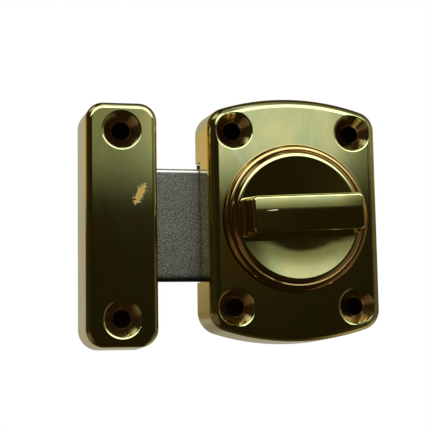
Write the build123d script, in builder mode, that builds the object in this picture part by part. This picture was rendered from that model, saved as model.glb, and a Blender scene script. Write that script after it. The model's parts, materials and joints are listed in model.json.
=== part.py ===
from build123d import *
import math
import os

# Thumb-turn door bolt: latch case with a turn knob and a sliding bolt, and a separate keeper.
# Millimetres. The mounting surface is the plane Y = 0, and everything stands out towards -Y.
# +Z is up, and the keeper is on the -X side. The origin is the centre of the case's back.
# A height h below is a distance out from the mounting surface, on Plane.XZ.offset(h).
# The bolt is drawn thrown, which is the rest position.

# --- driving sizes -----------------------------------------------------------------------

case_width = 45.9          # across the back edge
case_depth = 14.2
case_wall = 2.0
case_draft = 3.1           # degrees, all four sides lean in towards the front
case_corner = 6.0
case_edge = 2.6            # rounding of the front edge
case_end_radius = 62.0     # top and bottom edges are slight arcs
case_end_margin = 9.4      # screw centre to the middle of the end arc
case_side_margin = 7.21    # screw centre to the side
boss_to_notch = 2.0        # screw boss to the bolt notch

keeper_width = 19.2
keeper_depth = 14.6
keeper_wall = 2.0
keeper_draft = 2.9
keeper_corner = 5.2
keeper_edge = 1.6
keeper_end_margin = 7.65
keeper_boss_gap = 3.83     # bolt edge to the screw boss
keeper_gap = 11.8          # between the two backs, as fitted
keeper_drop = 1.63         # keeper fitted a little low
keeper_entry_gap = 1.2     # round the bolt where it enters
bolt_engagement = 3.3      # bolt tip inside the keeper when thrown

hole_radius = 2.25         # clearance for a 4 mm wood screw
sink_radius = 5.0          # outside of the countersink's rolled lip
sink_angle = 90.0
sink_rounding = 1.0
sink_lip_angle = 8.0       # degrees, where the lip meets the face
boss_radius = 4.8

bolt_throw = 15.0
bolt_thickness = 2.5
bolt_rounding = 1.0
bolt_drop = 0.7            # bolt lies low in its notch
guide_gap = 0.2            # bolt edge to each guide rib
slide_gap = 0.15           # bolt to the back plate
notch_lift = 1.2           # bolt front to the notch in the case wall
slot_web = 1.24            # bolt metal above the cross slot
tail_web = 3.0             # bolt metal behind the cross slot

knob_turn = 90.0           # degrees between thrown and drawn
knob_radius = 18.85
knob_foot_height = 0.85    # straight foot of the rim; knob heights are above the case face
knob_crease_radius = 17.0  # crease between the outer bead and the crest
knob_crease_height = 2.31
knob_crest_radius = 15.5
knob_crest_height = 3.1
dish_depth = 0.4
dish_flat_radius = 3.6     # flat middle of the dish
grip_length = 28.3         # at the grip's front face
grip_width = 8.9
grip_height = 12.7
grip_draft = 5.0
grip_corner = 1.3
grip_edge = 0.7
grip_crown = 150.0         # radius of the grip's slightly crowned front
grip_tilt = 2.7            # degrees, the grip's right end sits high
spindle_radius = 5.0
spindle_square = 6.0
running_gap = 0.05         # radial, spindle in its bore

washer_thickness = 0.35
washer_radius = 9.0
washer_lift = 0.05         # washer to the case face

crank_thickness = 2.0
crank_hub_radius = 6.5
pin_radius = 1.75
pin_rim = 1.45             # crank metal round the pin
pin_side_gap = 0.4         # pin to each side of the slot
crank_gap = 0.35           # bolt to the crank
cam_width = 10.4
cam_corner = 2.0
cam_thickness = 3.4
cam_gap = 0.3              # cam to the bore boss, the knob's end play

screw_radius = 2.0         # spindle screw
screw_head_radius = 4.1
screw_length = 8.0

plate_thickness = 0.8
plate_gap = 0.25           # back plate to the case walls
tapping_radius = 1.25      # back plate screws
tapping_head_radius = 2.2
tapping_length = 6.0
tapping_pitch = 20.0

rib_width = 4.6
bore_boss_wall = 3.0
stop_radius = 1.5
stop_gap = 0.3             # crank arm to its stop at either end of the turn
spring_thickness = 0.4
spring_width = 2.8
spring_gap = 0.05
spring_block_width = 3.5
spring_block_edge = 2.4    # block metal above and below the spring
spring_reach = 13.6        # from the axis to the spring's end

recess_width = 0.6         # cross recess in the screw heads
recess_depth = 0.8
recess_reach = 0.55        # of the head's radius
recess_taper = 15.0
pin_chamfer = 0.3

root_depth = 0.5           # how far inner bosses and ribs run into the case's front wall
cut_overrun = 1.0          # how far a cutter runs past the metal

# --- sizes that follow -------------------------------------------------------------------

crank_radius = bolt_throw / (2 * math.sin(math.radians(knob_turn / 2)))
pin_swing = math.radians(knob_turn / 2)
pin_x = -crank_radius * math.sin(pin_swing)
pin_z = crank_radius * math.cos(pin_swing)

slot_half_width = pin_radius + pin_side_gap
slot_top = crank_radius + slot_half_width
slot_bottom = pin_z - slot_half_width

bolt_z = -bolt_drop
bolt_height = 2 * (slot_top + slot_web + bolt_drop)
bolt_top = bolt_z + bolt_height / 2
bolt_bottom = bolt_z - bolt_height / 2
bolt_tip = -(case_width / 2 + keeper_gap + bolt_engagement)
bolt_tail = pin_x + slot_half_width + tail_web

case_hole_x = case_width / 2 - case_side_margin
notch_half = -bolt_bottom + guide_gap
case_hole_z = notch_half + boss_to_notch + boss_radius
case_height = 2 * (case_hole_z + case_end_margin)

keeper_x = -(case_width / 2 + keeper_gap + keeper_width / 2)
keeper_hole_z = bolt_height / 2 + keeper_boss_gap + boss_radius
keeper_height = 2 * (keeper_hole_z + keeper_end_margin)

bolt_back = plate_thickness + slide_gap
bolt_front = bolt_back + bolt_thickness
crank_back = bolt_front + crank_gap
crank_front = crank_back + crank_thickness
cam_front = crank_front + cam_thickness
bore_back = cam_front + cam_gap
case_inner = case_depth - case_wall
knob_back = case_depth + washer_lift + washer_thickness

case_root = case_inner + root_depth
keeper_inner = keeper_depth - keeper_wall
keeper_z = -keeper_drop

crest_h = case_depth + knob_crest_height
grip_root = case_depth + knob_foot_height
grip_front = case_depth + grip_height

spring_z = -(cam_width / 2 + spring_gap + spring_thickness / 2)
spring_back = crank_front + (cam_thickness - spring_width) / 2
block_height = spring_thickness + 2 * (spring_gap + spring_block_edge)
block_x = spring_reach + spring_gap - spring_block_width / 2 + spring_block_edge / 2

upper_rib_z = bolt_top + guide_gap + rib_width / 2
lower_rib_z = bolt_bottom - guide_gap - rib_width / 2
tapping_places = [
    (x, z)
    for x in (-tapping_pitch / 2, tapping_pitch / 2)
    for z in (upper_rib_z, lower_rib_z)
]

os.makedirs("parts", exist_ok=True)


def finish_part(part, name):
    part.label = name
    export_step(part, f"parts/{name}.step")


def case_outline(inset=0.0):
    """Case outline at the back: straight sides, ends that are slight arcs, rounded corners."""
    half_width = case_width / 2
    half_height = case_height / 2
    rise = case_end_radius - math.sqrt(case_end_radius**2 - half_width**2)
    corner_z = half_height - rise
    with BuildSketch() as outline:
        with BuildLine():
            Line((half_width, -corner_z), (half_width, corner_z))
            ThreePointArc((half_width, corner_z), (0, half_height), (-half_width, corner_z))
            Line((-half_width, corner_z), (-half_width, -corner_z))
            ThreePointArc((-half_width, -corner_z), (0, -half_height), (half_width, -corner_z))
        make_face()
        fillet(outline.vertices(), case_corner)
        if inset:
            offset(amount=-inset, mode=Mode.REPLACE)
    return outline.sketch


def screw_hole(depth):
    """Cutter for a countersunk screw hole with a rolled lip, its mouth a height depth out."""
    lip = math.radians(sink_lip_angle)
    slope = math.radians(sink_angle / 2)
    centre_r = sink_radius + sink_rounding * math.sin(lip)
    centre_h = depth - sink_rounding * math.cos(lip)

    def lip_point(angle):
        return (centre_r - sink_rounding * math.sin(angle), -centre_h - sink_rounding * math.cos(angle))

    mouth_y = -depth - cut_overrun
    cone_r, cone_y = lip_point(slope)
    seat_y = cone_y + (cone_r - hole_radius) / math.tan(slope)
    with BuildPart() as cutter:
        with BuildSketch(Plane.XY):
            with BuildLine():
                Line((0, mouth_y), (sink_radius, mouth_y))
                Line((sink_radius, mouth_y), (sink_radius, -depth))
                ThreePointArc((sink_radius, -depth), lip_point((lip + slope) / 2), (cone_r, cone_y))
                Line((cone_r, cone_y), (hole_radius, seat_y))
                Line((hole_radius, seat_y), (hole_radius, cut_overrun))
                Line((hole_radius, cut_overrun), (0, cut_overrun))
                Line((0, cut_overrun), (0, mouth_y))
            make_face()
        revolve(axis=Axis.Y)
    return cutter.part


def screw_body(head_h, head_radius, radius, length, gap=0.0):
    """Plain countersunk screw on the axis of Y, its flat head at a height head_h, point outwards."""
    depth = head_radius - radius
    with BuildPart() as body:
        with BuildSketch(Plane.XY):
            with BuildLine():
                Polyline(
                    (0, -head_h),
                    (head_radius + gap, -head_h),
                    (radius + gap, -head_h - depth),
                    (radius + gap, -head_h - length),
                    (0, -head_h - length),
                    close=True,
                )
            make_face()
        revolve(axis=Axis.Y)
    return body.part


def grip_bar():
    """Bar grip rooted below the dish, longer and wider at its root, its front slightly crowned."""
    rise = grip_front - grip_root
    lean = 2 * rise * math.tan(math.radians(grip_draft))
    with BuildPart() as bar:
        with BuildSketch(Plane.XZ.offset(grip_root)):
            Rectangle(grip_length + lean, grip_width + lean, rotation=grip_tilt)
        extrude(amount=rise, taper=grip_draft)
        with Locations(Location((0, grip_crown - grip_front, 0), (0, 90 - grip_tilt, 0))):
            Cylinder(grip_crown, 2 * grip_length, mode=Mode.INTERSECT)
        upright_edges = bar.edges().filter_by(lambda edge: abs(edge.tangent_at(0.5).Y) > 0.5)
        fillet(upright_edges, grip_corner)
        fillet(bar.faces().sort_by(Axis.Y)[0].edges(), grip_edge)
    return bar.part


def cross_recess(head_h, head_radius):
    """Cutter for a cross recess in a screw head at a height head_h."""
    span = 2 * recess_reach * head_radius
    with BuildPart() as cutter:
        with BuildSketch(Plane.XZ.offset(head_h)):
            Rectangle(span, recess_width)
            Rectangle(recess_width, span)
        extrude(amount=recess_depth, taper=recess_taper)
    return cutter.part


# --- latch case --------------------------------------------------------------------------

with BuildPart() as latch_case:
    with BuildSketch(Plane.XZ):
        add(case_outline())
    extrude(amount=case_depth, taper=case_draft)
    fillet(latch_case.faces().sort_by(Axis.Y)[0].edges(), case_edge)
    with BuildSketch(Plane.XZ):
        add(case_outline(inset=case_wall))
    extrude(amount=case_inner, taper=case_draft, mode=Mode.SUBTRACT)

    # Screw bosses, guide ribs and the boss round the spindle's bore.
    with BuildSketch(Plane.XZ):
        with GridLocations(2 * case_hole_x, 2 * case_hole_z, 2, 2):
            Circle(boss_radius)
    extrude(amount=case_root)
    rib_length = case_width - 4 * case_wall
    with BuildSketch(Plane.XZ.offset(plate_thickness)):
        with Locations((0, upper_rib_z), (0, lower_rib_z)):
            Rectangle(rib_length, rib_width)
    extrude(amount=case_root - plate_thickness)
    with BuildSketch(Plane.XZ.offset(bore_back)):
        Circle(spindle_radius + bore_boss_wall)
    extrude(amount=case_root - bore_back)

    # Stops that the crank's flanks meet at the two ends of its swing.
    flank_lean = math.asin((crank_hub_radius - pin_radius - pin_rim) / crank_radius)
    stop_reach = crank_hub_radius + stop_radius + stop_gap
    stop_angle = pin_swing + math.asin(stop_reach / crank_radius) - flank_lean
    stop_x = crank_radius * math.sin(stop_angle)
    stop_z = crank_radius * math.cos(stop_angle)
    with BuildSketch(Plane.XZ.offset(crank_back)):
        with Locations((-stop_x, stop_z), (stop_x, stop_z)):
            Circle(stop_radius)
    extrude(amount=case_root - crank_back)

    # Slotted blocks that hold the ends of the detent spring.
    with BuildSketch(Plane.XZ.offset(spring_back)):
        with Locations((-block_x, spring_z), (block_x, spring_z)):
            Rectangle(spring_block_width, block_height)
    extrude(amount=case_root - spring_back)
    with BuildSketch(Plane.XZ.offset(spring_back)):
        with Locations((0, spring_z)):
            Rectangle(2 * (spring_reach + spring_gap), spring_thickness + 2 * spring_gap)
    extrude(amount=spring_width + spring_gap, mode=Mode.SUBTRACT)

    # Bore, bolt notch in the left wall, and the screw holes.
    with BuildSketch(Plane.XZ):
        Circle(spindle_radius + running_gap)
    extrude(amount=case_depth, mode=Mode.SUBTRACT)
    with BuildSketch(Plane.XZ):
        with Locations((-case_width / 2, 0)):
            Rectangle(4 * case_wall, 2 * notch_half)
    extrude(amount=bolt_front + notch_lift, mode=Mode.SUBTRACT)
    for hole_x in (-case_hole_x, case_hole_x):
        for hole_z in (-case_hole_z, case_hole_z):
            add(Pos(hole_x, 0, hole_z) * screw_hole(case_depth), mode=Mode.SUBTRACT)
    for x, z in tapping_places:
        tapped = screw_body(0, tapping_head_radius, tapping_radius, tapping_length)
        add(Pos(x, 0, z) * tapped, mode=Mode.SUBTRACT)
finish_part(latch_case.part, "latch_case")


# --- keeper ------------------------------------------------------------------------------

with BuildPart() as keeper_case:
    with BuildSketch(Plane.XZ):
        with Locations((keeper_x, keeper_z)):
            RectangleRounded(keeper_width, keeper_height, keeper_corner)
    extrude(amount=keeper_depth, taper=keeper_draft)
    fillet(keeper_case.faces().sort_by(Axis.Y)[0].edges(), keeper_edge)
    pocket_width = keeper_width - 2 * keeper_wall
    pocket_height = keeper_height - 2 * keeper_wall
    with BuildSketch(Plane.XZ):
        with Locations((keeper_x, keeper_z)):
            RectangleRounded(pocket_width, pocket_height, keeper_corner - keeper_wall)
    extrude(amount=keeper_inner, taper=keeper_draft, mode=Mode.SUBTRACT)
    with BuildSketch(Plane.XZ):
        with Locations((keeper_x, keeper_z - keeper_hole_z), (keeper_x, keeper_z + keeper_hole_z)):
            Circle(boss_radius)
    extrude(amount=keeper_inner + root_depth)

    # The bolt's way in through the right wall.
    with BuildSketch(Plane.XZ):
        with Locations((keeper_x + keeper_width / 2, bolt_z)):
            Rectangle(4 * keeper_wall, bolt_height + 2 * keeper_entry_gap)
    extrude(amount=bolt_front + keeper_entry_gap, mode=Mode.SUBTRACT)
    for hole_z in (keeper_z - keeper_hole_z, keeper_z + keeper_hole_z):
        add(Pos(keeper_x, 0, hole_z) * screw_hole(keeper_depth), mode=Mode.SUBTRACT)
finish_part(keeper_case.part, "keeper_case")

# --- bolt --------------------------------------------------------------------------------

with BuildPart() as bolt:
    with BuildSketch(Plane.XZ.offset(bolt_back)):
        with Locations(((bolt_tip + bolt_tail) / 2, bolt_z)):
            Rectangle(bolt_tail - bolt_tip, bolt_height)
    extrude(amount=bolt_thickness)
    fillet(bolt.edges().filter_by(Axis.X), bolt_rounding)
    fillet(bolt.faces().sort_by(Axis.X)[0].edges().filter_by(Axis.Z), bolt_rounding)
    with BuildSketch(Plane.XZ.offset(bolt_back)):
        with Locations((pin_x, (slot_top + slot_bottom) / 2)):
            SlotOverall(slot_top - slot_bottom, 2 * slot_half_width, rotation=90)
    extrude(amount=bolt_thickness, mode=Mode.SUBTRACT)
finish_part(bolt.part, "bolt")

# --- turn knob: beaded rim, dished face, bar grip and spindle ------------------------------------

with BuildPart() as turn_knob:
    foot = (knob_radius, -case_depth - knob_foot_height)
    crease = (knob_crease_radius, -case_depth - knob_crease_height)
    crest = (knob_crest_radius, -crest_h)
    dish_side = (dish_flat_radius, dish_depth - crest_h)
    with BuildSketch(Plane.XY):
        with BuildLine():
            Line((0, -knob_back), (knob_radius, -knob_back))
            Line((knob_radius, -knob_back), foot)
            TangentArc(foot, crease, tangent=(0, -1))
            TangentArc(crest, crease, tangent=(1, 0))
            TangentArc(dish_side, crest, tangent=(1, 0))
            Line(dish_side, (0, dish_depth - crest_h))
            Line((0, dish_depth - crest_h), (0, -knob_back))
        make_face()
    revolve(axis=Axis.Y)
    add(grip_bar())

    # Spindle: round through the bore, square through the cam and the crank.
    with BuildSketch(Plane.XZ.offset(cam_front)):
        Circle(spindle_radius)
    extrude(amount=knob_back - cam_front)
    with BuildSketch(Plane.XZ.offset(crank_back)):
        Rectangle(spindle_square, spindle_square)
    extrude(amount=cam_front - crank_back)
    add(screw_body(crank_back, screw_head_radius, screw_radius, screw_length), mode=Mode.SUBTRACT)
finish_part(turn_knob.part, "turn_knob")

# --- washer, cam and crank -----------------------------------------------------------------

with BuildPart() as knob_washer:
    with BuildSketch(Plane.XZ.offset(case_depth + washer_lift)):
        Circle(washer_radius)
        Circle(spindle_radius + running_gap, mode=Mode.SUBTRACT)
    extrude(amount=washer_thickness)
finish_part(knob_washer.part, "knob_washer")

with BuildPart() as detent_cam:
    with BuildSketch(Plane.XZ.offset(crank_front)):
        RectangleRounded(cam_width, cam_width, cam_corner)
        Rectangle(spindle_square, spindle_square, mode=Mode.SUBTRACT)
    extrude(amount=cam_thickness)
finish_part(detent_cam.part, "detent_cam")

with BuildPart() as crank_plate:
    with BuildSketch(Plane.XZ.offset(crank_back)):
        Circle(crank_hub_radius)
        with Locations((pin_x, pin_z)):
            Circle(pin_radius + pin_rim)
        make_hull()
        Rectangle(spindle_square, spindle_square, mode=Mode.SUBTRACT)
        with Locations((pin_x, pin_z)):
            Circle(pin_radius, mode=Mode.SUBTRACT)
    extrude(amount=crank_thickness)
    add(screw_body(crank_back, screw_head_radius, screw_radius, screw_length), mode=Mode.SUBTRACT)
finish_part(crank_plate.part, "crank_plate")

with BuildPart() as crank_pin:
    with BuildSketch(Plane.XZ.offset(bolt_back)):
        with Locations((pin_x, pin_z)):
            Circle(pin_radius)
    extrude(amount=crank_front - bolt_back)
    chamfer(crank_pin.edges().sort_by(Axis.Y)[-1], pin_chamfer)
finish_part(crank_pin.part, "crank_pin")

with BuildPart() as shaft_screw:
    add(screw_body(crank_back, screw_head_radius, screw_radius, screw_length))
    add(cross_recess(crank_back, screw_head_radius), mode=Mode.SUBTRACT)
finish_part(shaft_screw.part, "shaft_screw")

# --- detent spring -------------------------------------------------------------------------

with BuildPart() as detent_spring:
    with BuildSketch(Plane.XZ.offset(spring_back + spring_gap)):
        with Locations((0, spring_z)):
            Rectangle(2 * spring_reach, spring_thickness)
    extrude(amount=spring_width - spring_gap)
finish_part(detent_spring.part, "detent_spring")

# --- back plate and its screws ---------------------------------------------------------------

plate_top = upper_rib_z + rib_width / 2 - plate_gap
plate_bottom = lower_rib_z - rib_width / 2 + plate_gap
plate_width = case_width - 2 * (case_wall + plate_gap)
tongue_reach = case_width / 2 - plate_gap

with BuildPart() as back_plate:
    with BuildSketch(Plane.XZ):
        with Locations((0, (plate_top + plate_bottom) / 2)):
            Rectangle(plate_width, plate_top - plate_bottom)
        # A tongue closes the back of the bolt notch.
        with Locations((-tongue_reach / 2, 0)):
            Rectangle(tongue_reach, 2 * (notch_half - plate_gap))
        with GridLocations(2 * case_hole_x, 2 * case_hole_z, 2, 2):
            Circle(boss_radius + plate_gap, mode=Mode.SUBTRACT)
    extrude(amount=plate_thickness)
    for x, z in tapping_places:
        seat = screw_body(0, tapping_head_radius, tapping_radius, tapping_length, gap=running_gap)
        add(Pos(x, 0, z) * seat, mode=Mode.SUBTRACT)
finish_part(back_plate.part, "back_plate")

with BuildPart() as plate_screw:
    add(screw_body(0, tapping_head_radius, tapping_radius, tapping_length))
    add(cross_recess(0, tapping_head_radius), mode=Mode.SUBTRACT)
plate_screws = Compound([Pos(x, 0, z) * plate_screw.part for x, z in tapping_places])
finish_part(plate_screws, "plate_screws")
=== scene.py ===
import json
import math

import bpy
from mathutils import Euler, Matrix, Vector


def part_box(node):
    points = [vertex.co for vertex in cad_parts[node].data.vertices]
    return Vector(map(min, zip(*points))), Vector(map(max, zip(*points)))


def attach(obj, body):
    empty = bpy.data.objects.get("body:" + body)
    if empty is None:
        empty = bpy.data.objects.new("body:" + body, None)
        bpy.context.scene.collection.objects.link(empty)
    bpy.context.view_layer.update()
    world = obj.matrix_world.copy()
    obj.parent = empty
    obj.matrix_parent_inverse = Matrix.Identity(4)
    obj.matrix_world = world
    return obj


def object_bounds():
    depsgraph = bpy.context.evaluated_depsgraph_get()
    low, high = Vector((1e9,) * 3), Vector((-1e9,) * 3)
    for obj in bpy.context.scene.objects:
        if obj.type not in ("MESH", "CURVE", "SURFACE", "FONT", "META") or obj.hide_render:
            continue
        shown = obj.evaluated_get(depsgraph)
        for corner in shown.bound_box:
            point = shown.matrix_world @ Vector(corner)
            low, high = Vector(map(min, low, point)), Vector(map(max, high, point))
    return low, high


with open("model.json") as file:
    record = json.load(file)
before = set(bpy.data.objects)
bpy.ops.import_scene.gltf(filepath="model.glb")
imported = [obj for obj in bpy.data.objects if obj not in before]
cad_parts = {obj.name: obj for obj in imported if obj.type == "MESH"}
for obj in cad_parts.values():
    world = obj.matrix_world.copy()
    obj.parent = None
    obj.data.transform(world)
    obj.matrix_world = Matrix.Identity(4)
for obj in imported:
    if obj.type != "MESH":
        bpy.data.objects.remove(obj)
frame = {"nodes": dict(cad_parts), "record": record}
cad_box = [list(corner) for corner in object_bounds()]

# Looks of the thumb-turn bolt latch: polished brass plating on the castings, a grainy grey bolt, and
# plated steel and nylon inside. Metres, in the frame's own axes: the front faces -Y and +Z is up.


# --- camera --------------------------------------------------------------------------------

IMAGE_WIDTH = 430
FOCAL_PIXELS = 1100.0
SENSOR_MM = 36.0
CAMERA_PLACE = Vector((-0.0791, -0.2814, -0.0316))
CAMERA_YAW = math.radians(-12.27)
CAMERA_PITCH = math.radians(6.72)
CAMERA_ROLL = math.radians(-0.95)


def make_camera():
    data = bpy.data.cameras.new("camera")
    data.sensor_width = SENSOR_MM
    data.lens = FOCAL_PIXELS * SENSOR_MM / IMAGE_WIDTH
    data.clip_start = 0.01
    camera = bpy.data.objects.new("camera", data)
    turn = Euler((math.radians(90) + CAMERA_PITCH, 0, CAMERA_YAW), "XYZ").to_matrix()
    roll = Euler((0, 0, CAMERA_ROLL), "XYZ").to_matrix()
    camera.matrix_world = (turn @ roll).to_4x4()
    camera.location = CAMERA_PLACE
    bpy.context.scene.collection.objects.link(camera)
    bpy.context.scene.camera = camera


# --- node helpers --------------------------------------------------------------------------

MIX_COLOURS = (6, 7)                # the colour inputs among a mix node's inputs
MIX_RESULT = 2                      # and its colour output


class Nodes:
    """A material's or the world's node tree, with short ways to add and join nodes."""

    def __init__(self, tree):
        self.tree = tree
        tree.nodes.clear()

    def add(self, kind, **settings):
        node = self.tree.nodes.new(kind)
        for name, value in settings.items():
            setattr(node, name, value)
        return node

    def join(self, source, target):
        self.tree.links.new(source, target)

    def put(self, socket, value):
        """Sets a socket to a number or colour, or joins it to another node's output."""
        if isinstance(value, bpy.types.NodeSocket):
            self.join(value, socket)
        else:
            socket.default_value = value

    def math(self, operation, first, second=0.0):
        node = self.add("ShaderNodeMath", operation=operation)
        self.put(node.inputs[0], first)
        self.put(node.inputs[1], second)
        return node.outputs[0]

    def plus(self, first, *others):
        for other in others:
            first = self.math("ADD", first, other)
        return first

    def times(self, first, *others):
        for other in others:
            first = self.math("MULTIPLY", first, other)
        return first

    def span(self, value, low, high, out_low=0.0, out_high=1.0):
        """Maps low..high to out_low..out_high along a smooth step."""
        node = self.add("ShaderNodeMapRange", interpolation_type="SMOOTHSTEP")
        self.put(node.inputs["Value"], value)
        node.inputs["From Min"].default_value = low
        node.inputs["From Max"].default_value = high
        node.inputs["To Min"].default_value = out_low
        node.inputs["To Max"].default_value = out_high
        return node.outputs["Result"]

    def fade(self, value, low, high, out_high=0.0):
        """1 up to low, then down to out_high at high."""
        return self.span(value, low, high, 1.0, out_high)

    def blend(self, factor, first, second):
        node = self.add("ShaderNodeMix", data_type="RGBA")
        self.put(node.inputs["Factor"], factor)
        for index, colour in zip(MIX_COLOURS, (first, second)):
            self.put(node.inputs[index], colour)
        return node.outputs[MIX_RESULT]

    def split(self, vector):
        node = self.add("ShaderNodeSeparateXYZ")
        self.join(vector, node.inputs[0])
        return node.outputs

    def place(self):
        """The shaded point's x, y and z, in metres."""
        return self.split(self.add("ShaderNodeTexCoord").outputs["Object"])

    def noise(self, scale, detail=3.0, roughness=0.55, stretch=(1, 1, 1), distortion=0.0):
        """Noise with about scale features in a metre, drawn out along an axis whose stretch is under 1."""
        coords = self.add("ShaderNodeTexCoord")
        mapping = self.add("ShaderNodeMapping")
        mapping.inputs["Scale"].default_value = stretch
        self.join(coords.outputs["Object"], mapping.inputs["Vector"])
        node = self.add("ShaderNodeTexNoise")
        self.join(mapping.outputs["Vector"], node.inputs["Vector"])
        node.inputs["Scale"].default_value = scale
        node.inputs["Detail"].default_value = detail
        node.inputs["Roughness"].default_value = roughness
        node.inputs["Distortion"].default_value = distortion
        return node.outputs["Fac"]

    def bump(self, height, strength, distance):
        """A normal for a height from 0 to 1 that stands for distance, in metres."""
        node = self.add("ShaderNodeBump")
        node.inputs["Strength"].default_value = strength
        node.inputs["Distance"].default_value = distance
        self.join(height, node.inputs["Height"])
        return node.outputs["Normal"]


def new_material(name):
    material = bpy.data.materials.new(name)
    material.use_nodes = True
    nodes = Nodes(material.node_tree)
    output = nodes.add("ShaderNodeOutputMaterial")
    shader = nodes.add("ShaderNodeBsdfPrincipled")
    nodes.join(shader.outputs["BSDF"], output.inputs["Surface"])
    return material, nodes, shader


def rgb(red, green, blue):
    return (red, green, blue, 1.0)


# --- painted shade, highlights and reflections on the brass --------------------------------

CONE_SPREAD = 1.88                  # the countersink's radius over the hole's
CONE_EDGE = 0.94                    # the painted shade fades from this share of the countersink's radius
LIP = (1.0, 1.067)                  # over the hole's radius, where the painted highlight ring starts and is full
LIP_END = (1.156, 1.222)            # over the hole's radius, where it fades and is gone
RIM_SHADE = (0.0158, 0.0166)         # from the knob's middle, where the painted shade starts and is full
SHADE_FRONT = (-0.009, -0.008)       # the painted shade fades out here, so only the fronts have it
REFLECTION_FRONT = (-0.0135, -0.0125)    # a painted reflection streak fades out here, on the front face only
# Painted reflections: a golden streak on the keeper's face and a pale line on the knob's grip, drawn as
# dull patches that the key light brightens.
KEEPER_REFLECTION = {
    "start": (-0.0416, 0.0022), "end": (-0.0383, 0.0092),
    "width": 0.0019, "ragged": 0.0030, "colour": rgb(0.36, 0.23, 0.05),
}
GRIP_REFLECTION = {
    "start": (-0.0112, 0.0002), "end": (-0.0074, 0.0006),
    "width": 0.0003, "ragged": 0.0002, "colour": rgb(0.50, 0.48, 0.34),
}


def from_point(nodes, point, mirrored=False):
    """Distance in the front plane from a point (x, z). Mirrored, it is from the nearest of the point's
    four mirror images."""
    across, _, up = nodes.place()
    if mirrored:
        across, up = nodes.math("ABSOLUTE", across), nodes.math("ABSOLUTE", up)
    across = nodes.math("SUBTRACT", across, point[0])
    up = nodes.math("SUBTRACT", up, point[1])
    return nodes.math("SQRT", nodes.plus(nodes.times(across, across), nodes.times(up, up)))


def painted_reflection_mask(nodes, painted_reflection):
    """1 along the streak's line from start to end (x, z), with tapered ends and a ragged outline."""
    start, end, width = Vector(painted_reflection["start"]), Vector(painted_reflection["end"]), painted_reflection["width"]
    way = (end - start).normalized()
    middle = (start + end) / 2
    half = (end - start).length / 2
    across, _, up = nodes.place()
    across = nodes.math("SUBTRACT", across, middle[0])
    up = nodes.math("SUBTRACT", up, middle[1])
    along = nodes.plus(nodes.times(across, way[0]), nodes.times(up, way[1]))
    along = nodes.math("ABSOLUTE", along)
    beside = nodes.math("SUBTRACT", nodes.times(across, way[1]), nodes.times(up, way[0]))
    beside = nodes.math("ABSOLUTE", beside)
    uneven = nodes.math("SUBTRACT", nodes.noise(1500.0, detail=2.0), 0.5)
    taper = nodes.times(nodes.span(along, half * 0.3, half), width * 0.6)
    beside = nodes.plus(beside, nodes.times(uneven, painted_reflection["ragged"]), taper)
    inside = nodes.fade(beside, width * 0.2, width * 0.6)
    return nodes.times(inside, nodes.fade(along, half * 0.9, half * 1.1))


def countersink_painted_light(pattern):
    """Painted shade in the countersinks of a bolt pattern, with a painted highlight ring round the edge of
    each hole.
    """
    mount = next(m for m in frame["record"]["mounts"] if m["name"] == pattern)
    dims = mount["dims"]
    hole = dims["hole_r_mm"] / 1000
    cone = hole * CONE_SPREAD
    half_up = dims["spacing_y_mm"] / 2000

    def painted_light(nodes):
        if "spacing_x_mm" in dims:
            away = from_point(nodes, (dims["spacing_x_mm"] / 2000, half_up), mirrored=True)
        else:
            across, _, middle = mount["pos_m"]
            upper = from_point(nodes, (across, middle + half_up))
            lower = from_point(nodes, (across, middle - half_up))
            away = nodes.math("MINIMUM", upper, lower)
        lip_highlight = nodes.times(
            nodes.span(away, *(hole * share for share in LIP)),
            nodes.fade(away, *(hole * share for share in LIP_END)),
        )
        return nodes.fade(away, cone * CONE_EDGE, cone), lip_highlight

    return painted_light


def rim_painted_shade(nodes):
    """Painted shade round the knob's rim. It has no painted highlight ring."""
    return nodes.span(from_point(nodes, (0, 0)), *RIM_SHADE), 0.0


# --- materials -----------------------------------------------------------------------------

GOLD = rgb(0.90, 0.77, 0.36)
GOLD_CLOUD = rgb(0.74, 0.72, 0.35)
GOLD_EDGE = rgb(0.95, 0.86, 0.58)   # rubbed edges
BRONZE_SHADE = rgb(0.74, 0.47, 0.19)      # painted shade in the countersinks and around the knob's rim
LIP_HIGHLIGHT = rgb(1.0, 0.86, 0.62)   # painted highlight ring round each screw hole
SINK_ROUGHNESS = 0.08               # added where the painted shade is, in the countersinks
RIM_ROUGHNESS = 0.04                # and on the rim
HIGHLIGHT_BAND = (0.0014, 0.0006)        # below the bolt's top edge, where the painted highlight starts and is full
SHADE_BAND = (0.0006, 0.0024)            # above the bolt's bottom edge, where the painted shade is full and ends


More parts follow.
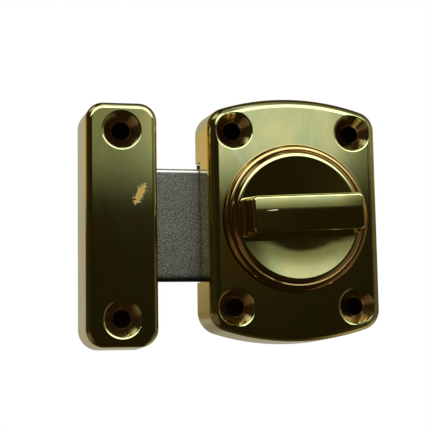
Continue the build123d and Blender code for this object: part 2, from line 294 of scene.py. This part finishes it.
def brass(name, rough, painted_light, shade_rough, painted_reflection=None):
    """Polished plating: cloudy polish, fine scratches, rubbed edges, painted bronze shade with a painted
    highlight ring, and one painted reflection streak. The function passed in gives the amount of painted
    shade and the painted highlight ring in it."""
    material, nodes, shader = new_material(name)
    depth = nodes.place()[1]
    cloud = nodes.noise(110.0, detail=4.0, stretch=(1.0, 1.0, 0.45), distortion=0.6)
    scratch = nodes.noise(900.0, detail=4.0, roughness=0.7, stretch=(0.15, 1.0, 1.0))
    edge = nodes.span(nodes.add("ShaderNodeNewGeometry").outputs["Pointiness"], 0.52, 0.60)
    tint = nodes.blend(nodes.span(cloud, 0.38, 0.62), GOLD, GOLD_CLOUD)
    tint = nodes.blend(nodes.times(edge, 0.5), tint, GOLD_EDGE)
    amount, lip_highlight = painted_light(nodes)
    painted_shade = nodes.times(amount, nodes.fade(depth, *SHADE_FRONT))
    # painted shade: bronze colour in the countersinks and round the knob's rim
    tint = nodes.blend(painted_shade, tint, BRONZE_SHADE)
    # painted highlight: a pale ring round the edge of each screw hole
    tint = nodes.blend(nodes.times(painted_shade, lip_highlight), tint, LIP_HIGHLIGHT)
    metal = 1.0
    if painted_reflection:
        # painted reflection: the streak's dull colour
        reflection_amount = nodes.times(painted_reflection_mask(nodes, painted_reflection), nodes.fade(depth, *REFLECTION_FRONT))
        tint = nodes.blend(reflection_amount, tint, painted_reflection["colour"])
        metal = nodes.fade(reflection_amount, 0.0, 1.0, 0.15)
    nodes.put(shader.inputs["Metallic"], metal)
    nodes.join(tint, shader.inputs["Base Color"])
    polish = nodes.span(cloud, 0.3, 0.7, rough, rough * 1.5)
    scratched = nodes.span(scratch, 0.66, 0.8, 0.0, 0.05)
    polish = nodes.plus(polish, scratched, nodes.times(painted_shade, shade_rough))
    nodes.join(polish, shader.inputs["Roughness"])
    height = nodes.plus(nodes.noise(260.0, detail=1.0), nodes.times(scratch, 0.15))
    nodes.join(nodes.bump(height, 0.06, 0.00004), shader.inputs["Normal"])
    return material


def blasted_steel(name):
    """Blasted grey steel for the bolt: fine even grain, with a painted highlight along its top edge and
    painted shade along the bottom."""
    material, nodes, shader = new_material(name)
    low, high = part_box("bolt")
    up = nodes.place()[2]
    painted_top_highlight = nodes.span(up, *(high[2] - below for below in HIGHLIGHT_BAND))
    painted_bottom_shade = nodes.span(up, *(low[2] + above for above in SHADE_BAND), 0.9, 0.0)
    grain = nodes.noise(3800.0, detail=1.0, roughness=0.6)
    cloud = nodes.noise(90.0, detail=3.0)
    tint = nodes.blend(nodes.span(grain, 0.35, 0.68), rgb(0.04, 0.037, 0.025), rgb(0.56, 0.53, 0.45))
    tint = nodes.blend(nodes.span(cloud, 0.35, 0.75, 0.0, 0.35), tint, rgb(0.13, 0.12, 0.09))
    # painted highlight along the bolt's top edge and painted shade along its bottom edge
    tint = nodes.blend(painted_top_highlight, tint, rgb(0.92, 0.91, 0.86))
    tint = nodes.blend(painted_bottom_shade, tint, rgb(0.02, 0.018, 0.012))
    nodes.join(tint, shader.inputs["Base Color"])
    shader.inputs["Metallic"].default_value = 0.9
    polish = nodes.span(grain, 0.3, 0.7, 0.40, 0.28)
    polish = nodes.math("SUBTRACT", polish, nodes.times(painted_top_highlight, 0.12))
    nodes.join(polish, shader.inputs["Roughness"])
    nodes.join(nodes.bump(grain, 0.5, 0.00008), shader.inputs["Normal"])
    return material


def plated_steel(name, colour, rough, stretch):
    """Plated steel with a drawn or rolled grain along one way."""
    material, nodes, shader = new_material(name)
    grain = nodes.noise(700.0, detail=3.0, stretch=stretch)
    cloud = nodes.noise(120.0, detail=2.0)
    dark = rgb(*(0.8 * channel for channel in colour[:3]))
    nodes.join(nodes.blend(nodes.span(cloud, 0.3, 0.7), colour, dark), shader.inputs["Base Color"])
    shader.inputs["Metallic"].default_value = 1.0
    nodes.join(nodes.span(grain, 0.3, 0.7, rough * 0.8, rough * 1.2), shader.inputs["Roughness"])
    nodes.join(nodes.bump(grain, 0.15, 0.00003), shader.inputs["Normal"])
    return material


def nylon(name):
    material, nodes, shader = new_material(name)
    cloud = nodes.noise(300.0, detail=3.0)
    tint = nodes.blend(cloud, rgb(0.74, 0.71, 0.62), rgb(0.83, 0.81, 0.73))
    nodes.join(tint, shader.inputs["Base Color"])
    nodes.join(nodes.span(cloud, 0.3, 0.7, 0.35, 0.5), shader.inputs["Roughness"])
    shader.inputs["Subsurface Weight"].default_value = 0.15
    shader.inputs["Subsurface Radius"].default_value = (0.001, 0.001, 0.0008)
    return material


def paint_nodes():
    case_sinks, keeper_sinks = countersink_painted_light("case_screws"), countersink_painted_light("keeper_screws")
    finishes = {
        "latch_case": brass("case_brass", 0.06, case_sinks, SINK_ROUGHNESS),
        "turn_knob": brass("knob_brass", 0.03, rim_painted_shade, RIM_ROUGHNESS, GRIP_REFLECTION),
        "keeper_case": brass("keeper_brass", 0.06, keeper_sinks, SINK_ROUGHNESS, KEEPER_REFLECTION),
        "bolt": blasted_steel("bolt_steel"),
        "back_plate": plated_steel("pressed_steel", rgb(0.62, 0.63, 0.62), 0.32, (0.1, 1, 1)),
        "plate_screws": plated_steel("bright_steel", rgb(0.72, 0.72, 0.70), 0.2, (1, 1, 1)),
        "detent_spring": plated_steel("spring_steel", rgb(0.24, 0.27, 0.34), 0.25, (0.1, 1, 1)),
        "knob_washer": nylon("nylon"),
    }
    finishes["crank_plate"] = finishes["back_plate"]
    finishes["crank_pin"] = finishes["plate_screws"]
    finishes["shaft_screw"] = finishes["plate_screws"]
    finishes["detent_cam"] = finishes["knob_washer"]
    for name, node in frame["nodes"].items():
        node.data.materials.clear()
        node.data.materials.append(finishes[name])


# --- floor, screw holes and light ----------------------------------------------------------

FLOOR_DROP = 0.09                   # below the object's lowest point
FLOOR_SIZE = 1.4
SHADE_DEPTH = 0.007                 # from the mounting surface into each screw hole
UPRIGHT = (math.pi / 2, 0, 0)       # turns a flat disc to face the front
KEY_PLACE = (-0.15, -0.6, 0.9)
KEY_SIZE = (0.6, 0.4)
KEY_POWER = 14.0


def make_floor():
    lowest = cad_box[0][2]
    bpy.ops.mesh.primitive_plane_add(size=FLOOR_SIZE, location=(0, 0, lowest - FLOOR_DROP))
    floor = bpy.context.object
    floor.name = "floor"
    material, _, shader = new_material("floor_white")
    shader.inputs["Base Color"].default_value = rgb(0.93, 0.93, 0.92)
    shader.inputs["Roughness"].default_value = 0.8
    shader.inputs["Emission Color"].default_value = rgb(1, 1, 1)
    shader.inputs["Emission Strength"].default_value = 0.25
    floor.data.materials.append(material)
    floor.visible_glossy = False


def make_hole_shades():
    """A dark disc deep in each open screw hole, in place of the unlit door behind it. The discs are
    not part of the object."""
    material, _, shader = new_material("hole_shade")
    shader.inputs["Base Color"].default_value = rgb(0.006, 0.004, 0.002)
    shader.inputs["Roughness"].default_value = 0.9
    shader.inputs["Specular IOR Level"].default_value = 0.1
    for mount in frame["record"]["mounts"]:
        if mount["kind"] != "bolt_pattern":
            continue
        middle, dims = mount["pos_m"], mount["dims"]
        radius = dims["hole_r_mm"] / 1000
        half_across = dims.get("spacing_x_mm", 0.0) / 2000
        half_up = dims["spacing_y_mm"] / 2000
        body = mount["name"].split("_")[0]
        places = {(side * half_across, rise * half_up) for side in (-1, 1) for rise in (-1, 1)}
        for across, up in sorted(places):
            place = (middle[0] + across, -SHADE_DEPTH, middle[2] + up)
            bpy.ops.mesh.primitive_circle_add(
                vertices=48, radius=radius, fill_type="NGON", location=place, rotation=UPRIGHT
            )
            shade = bpy.context.object
            shade.name = "hole_shade"
            shade.data.materials.append(material)
            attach(shade, body)


def make_key_light():
    data = bpy.data.lights.new("key", "AREA")
    data.shape = "RECTANGLE"
    data.size, data.size_y = KEY_SIZE
    data.energy = KEY_POWER
    light = bpy.data.objects.new("key", data)
    light.location = KEY_PLACE
    light.rotation_euler = (-Vector(KEY_PLACE)).to_track_quat("-Z", "Y").to_euler()
    light.visible_glossy = False
    bpy.context.scene.collection.objects.link(light)


# --- surroundings --------------------------------------------------------------------------
# Each direction's right, front, back and up run from -1 to 1, and across is right over front.

WINDOW_POWER = 2.8                  # of the wide high part, where the sill's is about 0.9
WINDOW_LOW = rgb(0.66, 0.75, 0.50)
WINDOW_HIGH = rgb(0.68, 0.78, 0.77)
ROOM_DARK = rgb(0.013, 0.010, 0.003)
ROOM_PALER = rgb(0.030, 0.022, 0.007)
ROOM_SIDES = rgb(0.11, 0.085, 0.055)
ROOM_LOW_RIGHT = rgb(0.42, 0.36, 0.20)
ORANGE_WALL = rgb(0.46, 0.27, 0.05)
CARD_PALE = rgb(0.80, 0.74, 0.60)
CARD_AMBER = rgb(0.95, 0.74, 0.36)
NEARLY_SIDEWAYS = 0.05              # the least front that across is worked out with


def window_strength(nodes, right, front, across, up):
    """The window in front: a sharp sill low down, a wide bright part above it, and a dimmer patch high at
    the left."""
    sill = nodes.plus(nodes.span(up, 0.134, 0.142, 0.0, 0.27), nodes.span(up, 0.142, 0.18, 0.0, 0.65))
    left_end = nodes.plus(
        nodes.span(across, 0.02, 0.10, 0.0, 0.3),
        nodes.span(across, 0.12, 0.22, 0.0, 0.7),
    )
    right_end = nodes.fade(across, 0.33, 0.37, 0.22)
    low_part = nodes.times(sill, left_end, right_end)

    width = nodes.times(nodes.span(across, -0.7, -0.2), nodes.fade(across, 0.7, 1.4, 0.1))
    height = nodes.times(nodes.span(up, 0.26, 0.38), nodes.fade(up, 0.70, 0.84, 0.12))
    high_part = nodes.times(width, height, WINDOW_POWER)

    patch = nodes.times(nodes.span(right, -0.5, -0.25, 0.8, 0.0), nodes.span(up, 0.6, 0.75))
    strength = nodes.math("MAXIMUM", nodes.math("MAXIMUM", low_part, high_part), patch)
    return nodes.times(strength, nodes.span(front, -0.15, 0.05))


def add_dark_room(nodes, right, back, across, up):
    """A dark room, a little paler below the window and to the right, and a dim brown at both sides."""
    paler = nodes.times(
        nodes.span(across, 0.17, 0.20),
        nodes.fade(across, 0.20, 0.32),
        nodes.span(up, 0.0, 0.09),
    )
    colour = nodes.blend(paler, ROOM_DARK, ROOM_PALER)

    beside = nodes.span(nodes.math("ABSOLUTE", right), 0.4, 0.8)
    sides = nodes.times(beside, nodes.fade(up, -0.3, -0.1, 0.1))
    far_right = nodes.span(right, 0.7, 0.9)
    colour = nodes.blend(nodes.math("MAXIMUM", sides, far_right), colour, ROOM_SIDES)

    low_right = nodes.times(
        nodes.span(right, 0.3, 0.6),
        nodes.span(back, -0.1, 0.2),
        nodes.fade(up, -0.5, -0.3),
    )
    return nodes.blend(low_right, colour, ROOM_LOW_RIGHT)


def add_orange_wall(nodes, colour, back, up):
    """Orange from beside the object to the card behind it, strongest just above level."""
    amount = nodes.times(
        nodes.span(back, 0.10, 0.5),
        nodes.fade(back, 0.82, 0.92),
        nodes.span(up, 0.1, 0.15, 0.08, 1.0),
        nodes.fade(up, 0.2, 0.4, 0.15),
    )
    return nodes.blend(amount, colour, ORANGE_WALL)


def add_card(nodes, colour, right, back, up):
    """A pale card behind, dimmer above and below the object. Its left is amber, and dimmer low down."""
    pale_part = nodes.span(right, -0.31, -0.24)
    left_part = nodes.span(up, 0.0, 0.15, 0.45, 1.1)
    amount = nodes.times(
        nodes.fade(up, 0.25, 0.7, 0.2),
        nodes.span(up, -0.45, -0.1, 0.25, 1.0),
        nodes.span(back, 0.80, 0.90, 0.0, 0.5),
        nodes.math("MAXIMUM", left_part, pale_part),
    )
    return nodes.blend(amount, colour, nodes.blend(pale_part, CARD_AMBER, CARD_PALE))


def make_surroundings():
    """The room as the polished faces show it. Rays from the camera see plain white."""
    scene = bpy.context.scene
    scene.view_settings.view_transform = "Standard"
    scene.world = bpy.data.worlds.new("surroundings")
    scene.world.use_nodes = True
    nodes = Nodes(scene.world.node_tree)
    right, back, up = nodes.split(nodes.add("ShaderNodeTexCoord").outputs["Generated"])
    front = nodes.times(back, -1.0)
    across = nodes.math("DIVIDE", right, nodes.math("MAXIMUM", front, NEARLY_SIDEWAYS))

    colour = add_dark_room(nodes, right, back, across, up)
    colour = add_orange_wall(nodes, colour, back, up)
    colour = add_card(nodes, colour, right, back, up)
    room = nodes.add("ShaderNodeBackground")
    nodes.join(colour, room.inputs["Color"])

    strength = window_strength(nodes, right, front, across, up)
    window = nodes.add("ShaderNodeBackground")
    nodes.join(nodes.blend(nodes.span(strength, 0.1, 1.0), WINDOW_LOW, WINDOW_HIGH), window.inputs["Color"])
    nodes.join(strength, window.inputs["Strength"])

    reflected = nodes.add("ShaderNodeAddShader")
    nodes.join(room.outputs[0], reflected.inputs[0])
    nodes.join(window.outputs[0], reflected.inputs[1])
    backdrop = nodes.add("ShaderNodeBackground")
    backdrop.inputs["Color"].default_value = rgb(1, 1, 1)
    seen = nodes.add("ShaderNodeMixShader")
    nodes.join(nodes.add("ShaderNodeLightPath").outputs["Is Camera Ray"], seen.inputs[0])
    nodes.join(reflected.outputs[0], seen.inputs[1])
    nodes.join(backdrop.outputs[0], seen.inputs[2])
    nodes.join(seen.outputs[0], nodes.add("ShaderNodeOutputWorld").inputs["Surface"])


make_camera()
make_floor()
make_hole_shades()
make_surroundings()
make_key_light()
paint_nodes()
